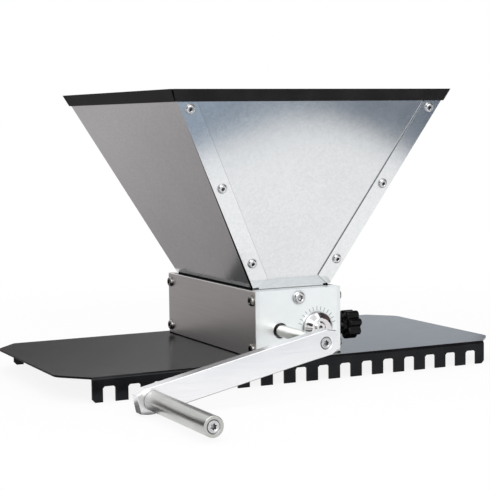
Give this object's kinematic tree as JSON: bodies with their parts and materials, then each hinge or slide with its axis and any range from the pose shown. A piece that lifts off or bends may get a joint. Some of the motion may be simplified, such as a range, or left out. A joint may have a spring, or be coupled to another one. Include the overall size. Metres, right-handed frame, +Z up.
{
  "type": "hand cranked malt mill",
  "caption": "Hand cranked malt mill: fluted rollers in a metal body under a flared sheet hopper, on a flat base plate whose comb edges catch a bucket rim.",
  "frame": {"origin": "middle of the mill body in plan, in the plane of the comb's tooth tips, on which the mill stands", "axes": "+X along the base plate towards the lock knobs, +Y along the rollers away from the crank, +Z up into the hopper"},
  "size_m": [0.4835, 0.4756, 0.2851],
  "materials": {
    "hopper_steel": "thin galvanised sheet, softly mottled, dull reflections",
    "cover_steel": "stainless plate brushed along its length",
    "plate_metal": "pale cast and milled face, fine matt grain",
    "base_paint": "satin black powder coat",
    "trim_rubber": "smooth black edge trim",
    "knob_plastic": "glossy black moulding",
    "fastener_steel": "stainless screws and nuts",
    "roller_steel": "hardened steel with cut flutes",
    "shaft_steel": "ground round bar",
    "bearing_steel": "ground bearing rings",
    "drum_chrome": "turned and plated",
    "arm_metal": "bright flat bar",
    "grip_aluminium": "turned satin bar"
  },
  "bodies": {
    "frame": {"base_plate": "base_paint", "base_screws": "fastener_steel", "end_plate_near": "plate_metal", "end_plate_far": "plate_metal", "side_cover_left": "cover_steel", "side_cover_right": "cover_steel", "cover_screws_left": "fastener_steel", "cover_screws_right": "fastener_steel", "hopper_side_left": "hopper_steel", "hopper_side_right": "hopper_steel", "hopper_end_near": "hopper_steel", "hopper_end_far": "hopper_steel", "rim_trim_near": "trim_rubber", "rim_trim_right": "trim_rubber", "rim_trim_far": "trim_rubber", "rim_trim_left": "trim_rubber", "hopper_bolts_near": "fastener_steel", "hopper_bolts_far": "fastener_steel", "hopper_nuts_near": "fastener_steel", "hopper_nuts_far": "fastener_steel", "hopper_fix_screws": "fastener_steel", "hopper_fix_nuts": "fastener_steel", "bearing_outer_rings": "bearing_steel"},
    "drive": {"drive_shaft": "shaft_steel", "drive_roller": "roller_steel", "bearing_inner_rings": "bearing_steel", "crank_arm": "arm_metal", "crank_screw": "fastener_steel", "grip_spindle": "fastener_steel"},
    "turning_grip": {"grip": "grip_aluminium"},
    "near_bush": {"eccentric_near": "drum_chrome"},
    "far_bush": {"eccentric_far": "drum_chrome"},
    "idle": {"idle_axle": "shaft_steel", "idle_roller": "roller_steel"},
    "near_lock": {"lock_knob_near": "knob_plastic", "lock_stud_near": "fastener_steel"},
    "far_lock": {"lock_knob_far": "knob_plastic", "lock_stud_far": "fastener_steel"}
  },
  "joints": [
    {"name": "crank_turn", "type": "hinge", "parent": "frame", "child": "drive", "pos_m": [-0.0205, 0, 0.05], "axis": [0, 1, 0], "continuous": true},
    {"name": "grip_turn", "type": "hinge", "parent": "drive", "child": "turning_grip", "pos_m": [-0.19363, -0.25, 0.0132], "axis": [0, 1, 0], "continuous": true},
    {"name": "gap_near", "type": "hinge", "parent": "frame", "child": "near_bush", "pos_m": [0.0205, -0.1, 0.05], "axis": [0, 1, 0], "range_deg": [-40, 100]},
    {"name": "gap_far", "type": "hinge", "parent": "frame", "child": "far_bush", "pos_m": [0.0205, 0.1, 0.05], "axis": [0, 1, 0], "range_deg": [-40, 100]},
    {"name": "idle_turn", "type": "hinge", "parent": "near_bush", "child": "idle", "pos_m": [0.01873, 0, 0.05177], "axis": [0, 1, 0], "continuous": true},
    {"name": "near_lock_turn", "type": "hinge", "parent": "frame", "child": "near_lock", "pos_m": [0.055, -0.10025, 0.05], "axis": [1, 0, 0], "range_deg": [0, 720]},
    {"name": "far_lock_turn", "type": "hinge", "parent": "frame", "child": "far_lock", "pos_m": [0.055, 0.10025, 0.05], "axis": [1, 0, 0], "range_deg": [0, 720]}
  ],
  "couplings": [
    {"joint": "gap_far", "follows": "gap_near", "ratio": 1}
  ]
}
